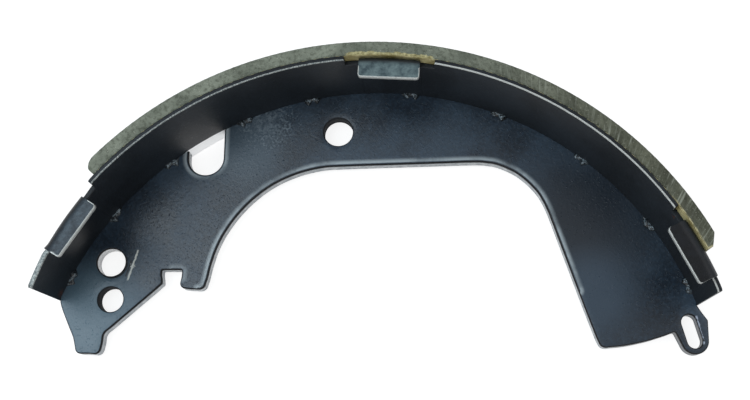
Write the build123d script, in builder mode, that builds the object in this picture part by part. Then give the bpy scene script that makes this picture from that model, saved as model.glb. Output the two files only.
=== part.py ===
"""Brake shoe for a drum brake of 254 mm (10 inch) bore.

A flat web, stamped from plate, carries a table: a strip rolled to the drum's curve and welded
to the web's outer edge at ten stations. Three tabs are folded inwards from the table's near
edge, and the shoe slides on them against the backing plate. The friction lining is bonded to
the outside of the table.

The origin is the centre of the hold-down hole, half way through the web. X runs along the
shoe, +Y points outwards at its crown, and +Z is the drum's axis, towards the tabs.
Plan positions are worked out from the drum's axis, and lengths are in millimetres.
"""

import os
from math import cos, radians, sin, tan

from build123d import *

# Layers, from the rubbing face inwards
drum_radius = 127.0
lining_thickness = 4.9
bond_thickness = 0.2
table_thickness = 1.7

# Table: the rolled strip
table_right_angle = 19.9
table_left_angle = 159.2
table_near_overhang = 31.0
table_far_overhang = 2.0
table_corner_radius = 1.3

# Tabs folded from the table's near edge, and the relief notches beside them. Beyond the outer
# tabs, the relief runs out to the table's ends.
tab_count = 3
tab_first_angle = 27.2
tab_pitch_angle = 60.3
tab_width = 21.0
tab_reach = 8.6
tab_bend_radius = 2.2
tab_corner_radius = 1.2
notch_width = 5.0
notch_depth = 4.4

# Lining
lining_right_angle = 26.5
lining_left_angle = 139.1
lining_edge_inset = 0.7
lining_bevel_height = 2.8
lining_bevel_length = 3.9

# Web: the stamped plate
web_thickness = 5.0
web_edge_radius = 0.5
bore_chamfer = 0.5
stamped_corner_radius = 0.6
crown_width = 25.3

# Toe, lever notch and tooth, measured from the table's left end
neck_inset = 6.1
neck_drop = 13.1
neck_radius = 12.0
toe_inset = 7.3
toe_drop = 18.4
toe_width = 7.4
toe_corner_radius = 1.5
toe_heel_height = 7.5
toe_heel_radius = 4.5
lever_notch_inset = 35.4
lever_notch_width = 7.3
lever_notch_lead = 6.3
lever_notch_top = 11.1
tooth_width = 7.3
tooth_tip = 5.0
tooth_corner_radius = 1.3

# Arch over the hub
arch_left_slope = 79.0
arch_left_radius = 44.7
arch_right_slope = 71.2
arch_right_radius = 22.0

# Heel and ear, measured from the table's right end
heel_inset = 33.8
heel_drop = 14.6
heel_corner_radius = 2.0
sole_inset = 19.0
sole_drop = 14.2
sole_radius = 48.0
ear_root_drop = 9.4
ear_root_radius = 0.8
ear_side_slope = 65.0
ear_wall = 2.1
ear_shoulder_inset = 1.9
ear_shoulder_drop = 3.0
ear_hip_drop = 5.4
slot_inset = 1.2
slot_drop = 12.6
slot_width = 5.5
slot_length = 12.2
slot_tilt = 15.5

# Holes, each placed by its angle about the drum and its depth in from the table
hold_down_diameter = 10.6
hold_down_angle = 98.05
hold_down_depth = 13.9
lever_pivot_diameter = 10.0
lever_pivot_angle = 149.3
lever_pivot_depth = 9.6
spring_hole_diameter = 8.9
spring_hole_angle = 155.5
spring_hole_depth = 16.4
window_width = 12.8
window_angle = 123.5
window_depth = 5.9

# Welds between web and table
weld_angles = (155.0, 142.0, 128.8, 114.3, 101.8, 84.5, 68.5, 52.0, 35.9, 23.4)
weld_length = 4.6
weld_leg = 1.5
weld_height = 1.3
weld_draft = 30.0

# Radii and heights that follow from the sizes above
table_outer = drum_radius - lining_thickness - bond_thickness
table_inner = table_outer - table_thickness
web_near = web_thickness / 2
table_near = web_near + table_near_overhang
table_far = -web_near - table_far_overhang
lining_near = table_near - lining_edge_inset
lining_far = table_far + lining_edge_inset


def polar(radius, angle):
    """The plan position at a radius and an angle in degrees about the drum's axis."""
    return (radius * cos(radians(angle)), radius * sin(radians(angle)))


# The drum's axis as seen from the hold-down hole, and planes and an axis that stand on it
hold_down_plan = polar(table_inner - hold_down_depth, hold_down_angle)
drum_centre = (-hold_down_plan[0], -hold_down_plan[1], 0)
drum_plan = Plane(drum_centre)
drum_axis = Axis(drum_centre, (0, 0, 1))
tab_section_plane = Plane(drum_centre, x_dir=(1, 0, 0), z_dir=(0, -1, 0))


def curved_strip(inner, outer, right_angle, left_angle, height):
    """A strip along the drum's curve, between two radii and two angles, drawn at a height."""
    sweep = left_angle - right_angle
    with BuildSketch(drum_plan.offset(height)) as strip:
        with BuildLine():
            inner_arc = CenterArc((0, 0), inner, right_angle, sweep)
            outer_arc = CenterArc((0, 0), outer, right_angle, sweep)
            Line(inner_arc @ 0, outer_arc @ 0)
            Line(inner_arc @ 1, outer_arc @ 1)
        make_face()
    return strip.sketch


# Web. Its outline runs from the table's left end round the toe, the lever notch, the tooth,
# the hub arch, the heel and the ear to the table's right end, and closes along the table.
left_x, left_y = polar(table_inner, table_left_angle)
right_x, right_y = polar(table_inner, table_right_angle)
toe_left = left_x + toe_inset
toe_bottom = left_y - toe_drop
lever_notch_left = left_x + lever_notch_inset
lever_notch_right = lever_notch_left + lever_notch_width
tooth_right = lever_notch_right + tooth_width
arch_top = table_inner - crown_width
arch_left = tooth_right + (arch_top - left_y - tooth_tip) / tan(radians(arch_left_slope))
heel_left = right_x - heel_inset
heel_bottom = right_y - heel_drop
arch_right = heel_left - (arch_top - heel_bottom) / tan(radians(arch_right_slope))
slot_foot_x = right_x - slot_inset
slot_foot_y = right_y - slot_drop
ear_radius = slot_width / 2 + ear_wall
ear_bottom = slot_foot_y - ear_radius
ear_left = slot_foot_x - ear_radius * tan(radians(ear_side_slope / 2))
ear_root_y = right_y - ear_root_drop
ear_root_x = ear_left - (ear_root_y - ear_bottom) / tan(radians(ear_side_slope))
ear_right = slot_foot_x + ear_radius
outline_corners = (
    # plan position of each corner, and its radius
    ((left_x + neck_inset, left_y - neck_drop), neck_radius),
    ((toe_left, toe_bottom), toe_corner_radius),
    ((toe_left + toe_width, toe_bottom), toe_corner_radius),
    ((toe_left + toe_width, toe_bottom + toe_heel_height), toe_heel_radius),
    ((lever_notch_left, left_y + lever_notch_lead), stamped_corner_radius),
    ((lever_notch_left, left_y + lever_notch_top), stamped_corner_radius),
    ((lever_notch_right, left_y + lever_notch_top), stamped_corner_radius),
    ((lever_notch_right, left_y + tooth_tip), tooth_corner_radius),
    ((tooth_right, left_y + tooth_tip), tooth_corner_radius),
    ((arch_left, arch_top), arch_left_radius),
    ((arch_right, arch_top), arch_right_radius),
    ((heel_left, heel_bottom), heel_corner_radius),
    ((right_x - sole_inset, right_y - sole_drop), sole_radius),
    ((ear_root_x, ear_root_y), ear_root_radius),
    ((ear_left, ear_bottom), ear_radius),
    ((ear_right, ear_bottom), ear_radius),
    ((ear_right, right_y - ear_hip_drop), stamped_corner_radius),
    ((right_x + ear_shoulder_inset, right_y - ear_shoulder_drop), stamped_corner_radius),
)
outline_points = [(left_x, left_y), *(point for point, _ in outline_corners), (right_x, right_y)]
window_centre = polar(table_inner - window_depth, window_angle)
slot_rise = (slot_length - slot_width) / 2
slot_centre = (
    slot_foot_x - slot_rise * sin(radians(slot_tilt)),
    slot_foot_y + slot_rise * cos(radians(slot_tilt)),
)

with BuildPart() as web:
    with BuildSketch(drum_plan.offset(-web_near)):
        with BuildLine():
            FilletPolyline(*outline_points, radius=[radius for _, radius in outline_corners])
            CenterArc(
                (0, 0), table_inner, table_right_angle, table_left_angle - table_right_angle
            )
        make_face()
        with Locations(hold_down_plan):
            Circle(hold_down_diameter / 2, mode=Mode.SUBTRACT)
        with Locations(polar(table_inner - lever_pivot_depth, lever_pivot_angle)):
            Circle(lever_pivot_diameter / 2, mode=Mode.SUBTRACT)
        with Locations(polar(table_inner - spring_hole_depth, spring_hole_angle)):
            Circle(spring_hole_diameter / 2, mode=Mode.SUBTRACT)
        with Locations(window_centre):
            Circle(window_width / 2, mode=Mode.SUBTRACT)
            Rectangle(
                window_width, drum_radius, align=(Align.CENTER, Align.MIN), mode=Mode.SUBTRACT
            )
        with Locations(Location(slot_centre, 90 + slot_tilt)):
            SlotOverall(slot_length, slot_width, mode=Mode.SUBTRACT)
    extrude(amount=web_thickness)
    # The bores are chamfered. The punch rounds every other edge of the near face, apart from the
    # table's seat.
    chamfer(web.faces().sort_by(Axis.Z)[-1].edges().filter_by(lambda e: e.is_closed), bore_chamfer)
    outline_edges = web.faces().sort_by(Axis.Z)[-1].edges().filter_by(lambda e: not e.is_closed)
    seat = [e for e in outline_edges.filter_by(GeomType.CIRCLE) if abs(e.radius - table_inner) < 0.01]
    fillet([edge for edge in outline_edges if edge not in seat], web_edge_radius)

# Tab blank: the table's strip bent inwards, over a little more than one tab's width. It lies
# along +X from the drum's axis, and the table turns copies of it to their angles.
bend_middle_radius = tab_bend_radius + table_thickness / 2
with BuildPart() as tab_blank:
    with BuildSketch(tab_section_plane):
        with BuildLine() as tab_line:
            FilletPolyline(
                (table_outer - table_thickness / 2, table_near - notch_depth),
                (table_outer - table_thickness / 2, table_near - table_thickness / 2),
                (table_outer - 2 * tab_reach, table_near - table_thickness / 2),
                radius=bend_middle_radius,
            )
        trace(line_width=table_thickness)
    revolve(axis=drum_axis)
    with BuildSketch(drum_plan.offset(table_far)):
        with Locations((table_outer - tab_reach, 0)):
            tab_plan = Rectangle(2 * tab_reach, tab_width, align=(Align.MIN, Align.CENTER))
        fillet(tab_plan.vertices().group_by(Axis.X)[0], tab_corner_radius)
    extrude(amount=2 * drum_radius, mode=Mode.INTERSECT)

# Table
tab_angles = [tab_first_angle + tab_pitch_angle * index for index in range(tab_count)]
run_out = table_outer  # reaches past the table's end from any tab
with BuildPart() as table:
    strip = curved_strip(table_inner, table_outer, table_right_angle, table_left_angle, table_far)
    extrude(strip, amount=table_near - table_far)
    for tab_angle in tab_angles:
        right_relief = run_out if tab_angle == tab_angles[0] else notch_width
        left_relief = run_out if tab_angle == tab_angles[-1] else notch_width
        tab_plan_plane = drum_plan.rotated((0, 0, tab_angle))
        with BuildSketch(tab_plan_plane.offset(table_near - notch_depth)):
            with Locations((table_outer, (left_relief - right_relief) / 2)):
                Rectangle(2 * tab_reach, tab_width + left_relief + right_relief)
        extrude(amount=2 * notch_depth, mode=Mode.SUBTRACT)
    upright_faces = table.faces().filter_by(GeomType.PLANE).filter_by(lambda f: abs(f.normal_at().Z) < 0.01)
    for end_face in upright_faces.sort_by(Axis.Y)[:2]:
        corners = end_face.edges().filter_by(lambda e: abs(e.length - table_thickness) < 0.01)
        fillet(corners, table_corner_radius)
    for tab_angle in tab_angles:
        add(tab_blank.part.rotate(drum_axis, tab_angle))

# Lining, with both ends bevelled towards the rubbing face
lining_inner = table_outer + bond_thickness
with BuildPart() as lining:
    strip = curved_strip(
        lining_inner, drum_radius, lining_right_angle, lining_left_angle, lining_far
    )
    extrude(strip, amount=lining_near - lining_far)
    for end_face in lining.faces().filter_by(GeomType.PLANE).sort_by(Axis.Z)[1:-1]:
        outer_edge = end_face.edges().filter_by(Axis.Z).sort_by_distance(drum_centre)[-1]
        chamfer(outer_edge, lining_bevel_height, lining_bevel_length, reference=end_face)

# Bond: the cured adhesive film between table and lining
with BuildPart() as bond:
    strip = curved_strip(
        table_outer, lining_inner, lining_right_angle, lining_left_angle, lining_far
    )
    extrude(strip, amount=lining_near - lining_far)


def make_weld(angle):
    """One weld station: flash on both faces of the web, where it meets the table."""
    seam = drum_plan.from_local_coords((*polar(table_inner, angle), 0))
    along = drum_plan.rotated((0, 0, angle + 90)).x_dir
    with BuildPart() as weld:
        for side in (-1, 1):
            web_face = Plane(seam + Vector(0, 0, side * web_near), x_dir=along, z_dir=(0, 0, side))
            with BuildSketch(web_face):
                SlotOverall(weld_length, 2 * weld_leg)
            extrude(amount=weld_height, taper=weld_draft)
        with BuildSketch(drum_plan.offset(-table_near)):
            Circle(table_inner)
        extrude(amount=2 * table_near, mode=Mode.INTERSECT)
    return weld


pieces = {"web": web, "table": table, "lining": lining, "bond_film": bond}
for number, weld_angle in enumerate(weld_angles, start=1):
    pieces[f"weld_{number:02d}"] = make_weld(weld_angle)

os.makedirs("parts", exist_ok=True)
for name, piece in pieces.items():
    piece.part.label = name
    export_step(piece.part, f"parts/{name}.step")
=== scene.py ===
import bmesh
import bpy
import mathutils
import numpy as np
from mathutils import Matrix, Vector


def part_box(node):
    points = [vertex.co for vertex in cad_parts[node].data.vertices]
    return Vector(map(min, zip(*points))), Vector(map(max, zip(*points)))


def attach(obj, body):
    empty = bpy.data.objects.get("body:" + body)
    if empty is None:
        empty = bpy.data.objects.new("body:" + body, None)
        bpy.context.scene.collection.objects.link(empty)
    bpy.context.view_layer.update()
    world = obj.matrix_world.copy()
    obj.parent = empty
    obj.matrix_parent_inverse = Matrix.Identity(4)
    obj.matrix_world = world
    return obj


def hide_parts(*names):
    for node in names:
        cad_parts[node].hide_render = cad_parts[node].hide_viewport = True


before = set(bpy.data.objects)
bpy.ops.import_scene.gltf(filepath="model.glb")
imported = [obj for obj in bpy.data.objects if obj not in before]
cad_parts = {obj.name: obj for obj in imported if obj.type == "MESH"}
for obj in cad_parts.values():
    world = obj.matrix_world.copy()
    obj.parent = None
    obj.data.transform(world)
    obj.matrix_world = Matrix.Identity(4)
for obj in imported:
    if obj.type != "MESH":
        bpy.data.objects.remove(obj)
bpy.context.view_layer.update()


# ---- Web ---------------------------------------------------------------------------------
# The web is the flat plate that stiffens the shoe. It is stamped from 5 mm steel, which rolls
# its near edges over, and dip coated in thin blue-black paint. Its cut walls carry a painted
# reflection of the pale floor.
web_low, web_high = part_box("web")
roll_radius = 0.0005
roll_depth = 0.00014
roll_reach = 0.0012
burr_radius = 0.0002
outline_step = 0.0007
plate_step = 0.0024
ring_depths = 0.001 * np.array([0.06, 0.15, 0.28, 0.42, 0.55, 0.8, 1.1, 1.5, 2.0, 2.7])
arch_right_angle = 33.0
arch_left_angle = 143.8
fracture_start = 0.38
fracture_depth = 0.00009

# The pressed plate's edge, counter-clockwise from the table's left end: at X and Y on the plain
# outline, how far outside it the edge lies, all in millimetres
edge_moves = [
    (-97.4, -61.9, 0.0), (-95.8, -65.0, 0.5), (-92.9, -71.2, 0.55), (-89.3, -80.4, 0.42),
    (-84.5, -80.5, 0.42), (-83.3, -78.5, 1.2), (-80.7, -71.1, 1.5), (-62.8, -56.2, 0.5),
    (-62.6, -53.0, 0.0), (-60.5, -51.0, 0.0), (-56.4, -51.0, 0.0), (-54.3, -53.1, 0.0),
    (-54.3, -55.2, 0.1), (-53.0, -57.1, 0.9), (-49.0, -57.1, 0.9), (-47.6, -55.4, 1.3),
    (-46.4, -49.4, 1.3), (-44.6, -41.6, 1.9), (-41.5, -34.1, 2.6), (-37.2, -27.4, 3.1),
    (-31.7, -21.5, 3.3), (-18.1, -13.0, 3.35), (-10.4, -10.8, 3.15), (-2.5, -9.9, 2.8),
    (9.6, -9.9, 2.35), (33.8, -9.9, 1.6), (45.9, -9.9, 1.2), (52.0, -9.9, 1.1),
    (58.2, -10.1, 1.8), (62.4, -11.1, 2.35), (69.8, -15.4, 2.65), (72.7, -18.5, 2.5),
    (76.6, -26.1, 1.45), (78.0, -29.9, 1.1), (89.8, -64.8, 1.0), (93.8, -76.4, 0.8),
    (95.1, -78.3, 0.5), (102.6, -78.1, 0.0), (106.6, -77.6, -0.3), (114.5, -75.5, -0.3),
    (118.5, -73.5, 0.0),
]
move_blend = 0.002

# The drum's axis, from the hold-down hole's own place about it, and the table's seat
hold_down_radius = 0.1063
hold_down_angle = np.radians(98.05)
drum_x = -hold_down_radius * np.cos(hold_down_angle)
drum_y = -hold_down_radius * np.sin(hold_down_angle)
table_inner = 0.1202
seat_slack = 0.00003


def on_drum(radius, angle, height):
    """The place at a radius and an angle in degrees about the drum's axis, and at a height."""
    turn = np.radians(angle)
    place = np.broadcast_arrays(
        drum_x + radius * np.cos(turn), drum_y + radius * np.sin(turn), height
    )
    return np.stack(place, axis=-1)


def from_drum(points):
    """The distance in plan of each point from the drum's axis."""
    return np.hypot(*(points - (drum_x, drum_y)).T)


def ripple(position, wavelength, seed, octaves=4):
    """Smooth noise along a line, within about 1 of zero: a sum of sine waves, each about half
    as long and half as high as the one before, with phases drawn from the seed."""
    draw = np.random.default_rng(seed)
    total = np.zeros_like(position)
    for octave in range(octaves):
        stretch, phase = draw.random(2)
        cycles = position / wavelength * 2**octave * (1 + 0.4 * stretch) + phase
        total += 0.5**octave * np.sin(2 * np.pi * cycles)
    return total / 1.5


def rounding(gap, radius):
    """How far a rounded corner lies inside the square one, at a gap from its side: the circle's
    own depth within one radius of the side, and nothing beyond."""
    short = np.clip(radius - gap, 0, radius)
    return radius - np.sqrt(radius**2 - short**2)


def solid_outlines(solid, height):
    """The closed outlines of a solid's flat face at a height, as points in plan with the plate
    on their left, found by walking the edges that only one face of that height shares."""
    shape = bmesh.new()
    shape.from_mesh(solid.data)
    bmesh.ops.remove_doubles(shape, verts=shape.verts, dist=1e-6)
    # A dict keeps the faces in the mesh's own order, so that every run walks from the same point
    level = dict.fromkeys(f for f in shape.faces if all(abs(v.co.z - height) < 1e-6 for v in f.verts))
    following = {}
    for face in level:
        for loop in face.loops:
            if sum(other in level for other in loop.edge.link_faces) == 1:
                following[loop.link_loop_next.vert] = loop.vert
    outlines = []
    while following:
        vertex, after = following.popitem()
        walked = [vertex]
        while after is not walked[0]:
            walked.append(after)
            after = following.pop(after)
        outlines.append(np.array([vertex.co.xy for vertex in walked]))
    shape.free()
    return outlines


def wrapped(angle):
    """An angle turned back to between minus and plus half a turn."""
    return (angle + np.pi) % (2 * np.pi) - np.pi


def left_of(heading):
    """The unit step in plan to the left of each heading."""
    return np.stack([-np.sin(heading), np.cos(heading)], axis=1)


def restore_arcs(outline, step, length_slack=0.03, largest_turn=0.6):
    """A closed outline at close steps, and at each point the heading along it. Chords of one
    length that meet at a small turn belong to an arc, so each is filled along the circle that
    turns by as much over it: radius = chord / (2 sin(turn / 2))."""
    chord = np.roll(outline, -1, axis=0) - outline
    length = np.hypot(*chord.T)
    heading = np.arctan2(chord[:, 1], chord[:, 0])
    turn = wrapped(np.roll(heading, -1) - heading)
    alike = np.abs(np.roll(length, -1) / length - 1) < length_slack
    alike &= np.abs(turn) < largest_turn
    bend = np.where(alike, turn, np.where(np.roll(alike, 1), np.roll(turn, 1), 0))
    count = np.ceil(length / step).astype(int)
    which = np.repeat(np.arange(len(outline)), count)
    share = (np.arange(len(which)) - np.repeat(np.cumsum(count) - count, count)) / count[which]
    half = np.where(np.abs(bend) > 1e-7, bend, 1e-7)[which] / 2
    swing = half * (2 * share - 1)
    radius = length[which] / (2 * np.sin(half))
    along = radius * (np.sin(swing) + np.sin(half))
    across = radius * (np.cos(half) - np.cos(swing))
    course = np.stack([np.cos(heading), np.sin(heading)], axis=1)[which]
    headed = heading[which] + swing
    corner = wrapped(np.roll(heading + bend / 2, 1)[which] - headed)
    headed = headed + np.where(share == 0, corner / 2, 0)
    return outline[which] + along[:, None] * course + across[:, None] * left_of(heading)[which], headed


def in_batches(points):
    """The points a few hundred at a time, so that arrays of all their pairs stay small."""
    return np.array_split(points, len(points) // 400 + 1)


def distance_to(points, starts, ends):
    """The distance in plan from each point to the nearest of some straight segments."""
    span = ends - starts
    nearest = []
    for part in in_batches(points):
        gap = part[:, None] - starts
        share = np.clip((gap * span).sum(axis=-1) / (span**2).sum(axis=-1), 0, 1)
        nearest.append(np.linalg.norm(gap - share[..., None] * span, axis=-1).min(axis=1))
    return np.concatenate(nearest)


def move_edge(outline, headed, moves, blend):
    """A closed outline moved along its outward side. The distance is read off between the given
    places by the length walked, and averaged over all points within a length of each point. It
    is 0 on the table's seat. Nothing goes below the outline's own lowest point, and points that
    cross over in a corner are left out."""
    places, distances = 0.001 * np.array(moves)[:, :2], 0.001 * np.array(moves)[:, 2]
    start = np.argmin(np.linalg.norm(outline - places[0], axis=1))
    outline, headed = np.roll(outline, -start, axis=0), np.roll(headed, -start)
    walked = np.cumsum(np.linalg.norm(np.roll(outline, 1, axis=0) - outline, axis=1))
    walked -= walked[0]
    nearest = np.linalg.norm(outline - places[:, None], axis=-1).argmin(axis=1)
    distance = np.interp(walked, walked[nearest], distances)
    close = np.abs(walked[:, None] - walked) < blend
    on_seat = np.abs(from_drum(outline) - table_inner) < seat_slack
    distance = np.where(on_seat, 0, close @ distance / close.sum(axis=1))
    lowest = outline[:, 1].min()
    moved = outline - distance[:, None] * left_of(headed)
    moved[:, 1] = np.maximum(moved[:, 1], lowest)
    gap = distance_to(moved, outline, np.roll(outline, -1, axis=0))
    clear = (gap > np.abs(distance) - 0.00001) | (moved[:, 1] == lowest)
    course = [np.roll(line, -1, axis=0) - np.roll(line, 1, axis=0) for line in (outline, moved)]
    before, after = (np.arctan2(line[:, 1], line[:, 0]) for line in course)
    return moved[clear], (headed + wrapped(after - before))[clear]


def within(points, starts, ends):
    """Whether each point lies inside closed outlines: a ray along X from it crosses an odd
    number of their segments."""
    rise = ends[:, 1] - starts[:, 1]
    slope = (ends[:, 0] - starts[:, 0]) / np.where(rise == 0, 1, rise)
    odd = []
    for part in in_batches(points):
        x, y = part[:, :1], part[:, 1:]
        crossed = (starts[:, 1] > y) != (ends[:, 1] > y)
        beyond = starts[:, 0] + (y - starts[:, 1]) * slope > x
        odd.append((crossed & beyond).sum(axis=1) % 2 == 1)
    return np.concatenate(odd)


def add_object(name, data):
    """An object made of the data, put in the scene."""
    made = bpy.data.objects.new(name, data)
    bpy.context.scene.collection.objects.link(made)
    return made


def finish_piece(name, mesh, material, node_names):
    """Closes a mesh's seams, turns its faces outwards, and hands it to the shoe."""
    tidy = bmesh.new()
    tidy.from_mesh(mesh)
    bmesh.ops.remove_doubles(tidy, verts=tidy.verts, dist=1e-7)
    bmesh.ops.recalc_face_normals(tidy, faces=tidy.faces)
    tidy.to_mesh(mesh)
    tidy.free()
    mesh.polygons.foreach_set("use_smooth", np.ones(len(mesh.polygons), bool))
    mesh.materials.append(material)
    piece = add_object(name, mesh)
    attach(piece, "root")
    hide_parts(*node_names)


def keep_values(mesh, **values):
    """Stores a number for each vertex under each name, for the material to read."""
    for name, numbers in values.items():
        kept = mesh.attributes.new(name, "FLOAT", "POINT")
        kept.data.foreach_set("value", np.ascontiguousarray(numbers, np.float32).ravel())


# The outlines, at close steps, and rings of points inside them where the edge rolls over
outlines = [restore_arcs(loop, outline_step) for loop in solid_outlines(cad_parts["web"], web_low.z)]
outer_loop = np.argmax([len(points) for points, _ in outlines])
outlines[outer_loop] = move_edge(*outlines[outer_loop], edge_moves, move_blend)
border, headed = (np.concatenate(parts) for parts in zip(*outlines))
inward = left_of(headed)
loop_starts = np.cumsum([0] + [len(points) for points, _ in outlines])
border_next = np.concatenate(
    [np.roll(np.arange(start, end), -1) for start, end in zip(loop_starts[:-1], loop_starts[1:])]
)
border_end = border[border_next]
rolled = np.abs(from_drum((border + border_end) / 2) - table_inner) > seat_slack
border_angle = np.degrees(np.arctan2(border[:, 1] - drum_y, border[:, 0] - drum_x))
on_outer = np.repeat(np.arange(len(outlines)) == outer_loop, np.diff(loop_starts))
arch = on_outer & rolled & (border_angle > arch_right_angle) & (border_angle < arch_left_angle)
rings = (border + ring_depths[:, None, None] * inward).reshape(-1, 2)
ring_gap = np.repeat(ring_depths, len(border))
rings = rings[distance_to(rings, border, border_end) > 0.97 * ring_gap]
grid_x, grid_y = np.meshgrid(
    np.arange(web_low.x, web_high.x, plate_step), np.arange(web_low.y, web_high.y, plate_step)
)
grid_x[1::2] += plate_step / 2
plate = np.stack([grid_x.ravel(), grid_y.ravel()], axis=1)
plate = plate[within(plate, border, border_end)]
plate = plate[distance_to(plate, border, border_end) > ring_depths[-1] + plate_step / 2]
web_plan = np.concatenate([border, rings[within(rings, border, border_end)], plate])

# The near and far faces share one triangulation, and the cut wall joins them along the outlines
borders = [(int(a), int(b)) for a, b in enumerate(border_next)]
plan_vectors = [mathutils.Vector(point) for point in 1000 * web_plan]
triangulated = mathutils.geometry.delaunay_2d_cdt(plan_vectors, borders, [], 0, 1e-6)
given_order = np.array([given[0] for given in triangulated[3]])
triangles = given_order[np.array(triangulated[2])]
triangles = triangles[within(web_plan[triangles].mean(axis=1), border, border_end)]
edge_gap = distance_to(web_plan, border[rolled], border_end[rolled])
arch_gap = distance_to(web_plan, border[arch], border_end[arch])
near_z = web_high.z - rounding(edge_gap, roll_radius)
near_z = near_z - roll_depth * np.exp(-((edge_gap / roll_reach) ** 2))
far_z = web_low.z + rounding(edge_gap, burr_radius)
wall_share = np.linspace(0, 1, 12)[1:-1, None]
around = np.arange(len(border)) * outline_step
fracture = np.clip((wall_share - fracture_start) / 0.12, 0, 1) * np.clip((1 - wall_share) / 0.1, 0, 1)
wall_inset = fracture_depth + 0.00003 * ripple(around, 0.011, 3) + 0.00002 * ripple(around, 0.0023, 4)
wall_inset = fracture * wall_inset
wall_z = near_z[: len(border)] + (far_z - near_z)[: len(border)] * wall_share
wall_plan = border + (wall_inset * (edge_gap[: len(border)] < 1e-6))[..., None] * inward
wall_points = np.concatenate([wall_plan, wall_z[..., None]], axis=-1).reshape(-1, 3)
web_points = np.concatenate(
    [np.column_stack([web_plan, near_z]), np.column_stack([web_plan, far_z]), wall_points]
)
wall_rows = 2 * len(web_plan) + np.arange(len(wall_points)).reshape(-1, len(border))
rows = np.vstack([np.arange(len(border)), wall_rows, np.arange(len(border)) + len(web_plan)])
wall_quads = np.stack([rows[:-1], rows[1:], rows[1:, border_next], rows[:-1, border_next]], axis=-1)
web_faces = triangles.tolist() + (triangles[:, ::-1] + len(web_plan)).tolist()
web_faces += wall_quads.reshape(-1, 4).tolist()
web_mesh = bpy.data.meshes.new("web_plate")
web_mesh.from_pydata(web_points, [], web_faces)
on_far_border = np.arange(len(web_plan)) < len(border)
keep_values(
    web_mesh,
    edge_gap=np.concatenate([edge_gap, edge_gap, 0 * wall_z.ravel()]),
    arch_gap=np.concatenate([arch_gap, arch_gap, np.tile(np.where(arch, 0.0, 1.0), len(wall_share))]),
    wall=np.concatenate([0 * edge_gap, on_far_border, np.repeat(wall_share, len(border))]),
)


def srgb(red, green, blue):
    """A colour given as 0 to 255 on a screen, as the linear values that shaders take."""
    screen = np.array([red, green, blue]) / 255
    linear = np.where(screen < 0.04045, screen / 12.92, ((screen + 0.055) / 1.055) ** 2.4)
    return (*linear, 1.0)


def set_input(socket, value):
    """Links a socket given as the value to an input, and sets any other value on it."""
    if isinstance(value, bpy.types.NodeSocket):
        socket.id_data.links.new(value, socket)
    else:
        socket.default_value = value


def add_node(tree, kind, inputs=None, **settings):
    """One shader node, with its settings and its inputs."""
    made = tree.nodes.new(kind)
    for name, value in settings.items():
        setattr(made, name, value)
    for name, value in (inputs or {}).items():
        set_input(made.inputs[name], value)
    return made


def calculate(operation, first, second=0.0, clamp=True):
    """The output of a Math node in the first value's own tree, like all nodes below, kept
    between 0 and 1 unless it's told otherwise."""
    settings = {"operation": operation, "use_clamp": clamp}
    return add_node(first.id_data, "ShaderNodeMath", {0: first, 1: second}, **settings).outputs[0]


def multiply(first, second):
    """The product of two shares."""
    return calculate("MULTIPLY", first, second)


def vector_maths(operation, first, second):
    """The outputs of a Vector Math node, called Vector and Value."""
    inputs = {0: first, 1: second}
    return add_node(first.id_data, "ShaderNodeVectorMath", inputs, operation=operation).outputs


def fade(value, start, end, low=0.0, high=1.0):
    """Goes smoothly from low to high as the value goes from start to end."""
    inputs = {"Value": value, "From Min": start, "From Max": end, "To Min": low, "To Max": high}
    settings = {"interpolation_type": "SMOOTHSTEP"}
    return add_node(value.id_data, "ShaderNodeMapRange", inputs, **settings).outputs["Result"]


def speckle(place, scale, detail=3.0, roughness=0.55):
    """Noise in 3-D at a place. Scale counts its lumps in a metre."""
    inputs = {"Vector": place, "Scale": scale, "Detail": detail, "Roughness": roughness}
    return add_node(place.id_data, "ShaderNodeTexNoise", inputs).outputs["Fac"]


def blend(colour, *layers):
    """A colour with others laid over it in turn, each given as its share and the colour."""
    for share, over in layers:
        inputs = {0: share, 6: colour, 7: over}
        colour = add_node(share.id_data, "ShaderNodeMix", inputs, data_type="RGBA").outputs[2]
    return colour


def new_group(name, inputs, outputs=None):
    """An empty shader group that takes a place and other inputs, and gives a mask unless other
    outputs are named, with the sockets that its inputs come from and its outputs go to."""
    group = bpy.data.node_groups.new(name, "ShaderNodeTree")
    inputs, outputs = {"Place": "Vector", **inputs}, outputs or {"Mask": "Float"}
    for direction, sockets in (("INPUT", inputs), ("OUTPUT", outputs)):
        for socket_name, kind in sockets.items():
            group.interface.new_socket(socket_name, in_out=direction, socket_type=f"NodeSocket{kind}")
    start, end = (group.nodes.new(f"NodeGroup{way}") for way in ("Input", "Output"))
    return group, start.outputs, end.inputs


def place_group(group, place, **inputs):
    """The outputs of a group put at a place, with its own values on its other inputs."""
    inputs = {"Place": place, **inputs}
    return add_node(place.id_data, "ShaderNodeGroup", inputs, node_tree=group).outputs


def mask_of(group, place, **inputs):
    """The mask of a group put at a place."""
    return place_group(group, place, **inputs)["Mask"]


def new_material(name):
    """A material with its tree, its Principled shader and the place on the piece."""
    material = bpy.data.materials.new(name)
    material.use_nodes = True
    tree = material.node_tree
    place = add_node(tree, "ShaderNodeTexCoord").outputs["Object"]
    return material, tree, tree.nodes["Principled BSDF"], place


def read_value(tree, name, output="Fac"):
    """A number that the mesh keeps for each vertex, or a vector under the output Vector."""
    return add_node(tree, "ShaderNodeAttribute", attribute_name=name).outputs[output]


def parts_of(place):
    """The X, Y and Z of a place."""
    return add_node(place.id_data, "ShaderNodeSeparateXYZ", {"Vector": place}).outputs


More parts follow.
